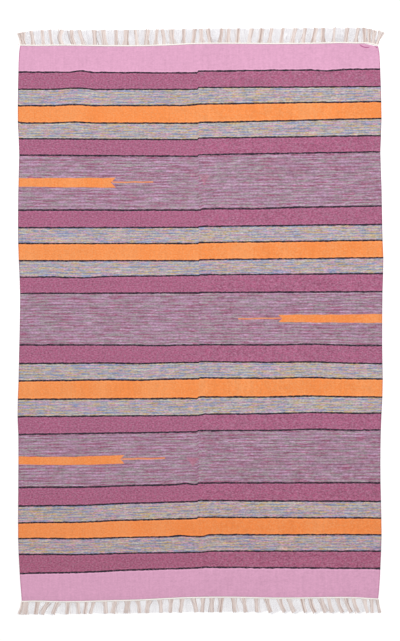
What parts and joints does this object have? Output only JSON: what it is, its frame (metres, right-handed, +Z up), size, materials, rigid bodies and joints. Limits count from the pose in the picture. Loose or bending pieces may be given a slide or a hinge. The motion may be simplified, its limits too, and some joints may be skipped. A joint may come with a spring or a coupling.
{
  "type": "flat-woven kilim rug",
  "caption": "Flat rectangular cotton rug in cross stripes, with a twined cord and a short gathered fringe along both ends.",
  "frame": {"origin": "on the floor, under the middle of the rug's bounding box, fringes included", "axes": "+X across the rug along the weft, +Y along the warp towards the far end, +Z up through the face"},
  "size_m": [1.2126, 1.94, 0.0063],
  "materials": {
    "striped_cotton": "weft-faced cotton, matt, in stripes of pink, plum, orange, mauve and a grey-lilac melange, parted by dark threads",
    "ivory_cotton": "undyed cotton yarn, twined, matt",
    "natural_warp": "undyed cotton warp yarns, loosely twisted, matt"
  },
  "bodies": {
    "root": {"woven_panel": "striped_cotton", "end_cord_far": "ivory_cotton", "end_cord_near": "ivory_cotton", "fringe_far": "natural_warp", "fringe_near": "natural_warp"}
  },
  "joints": []
}
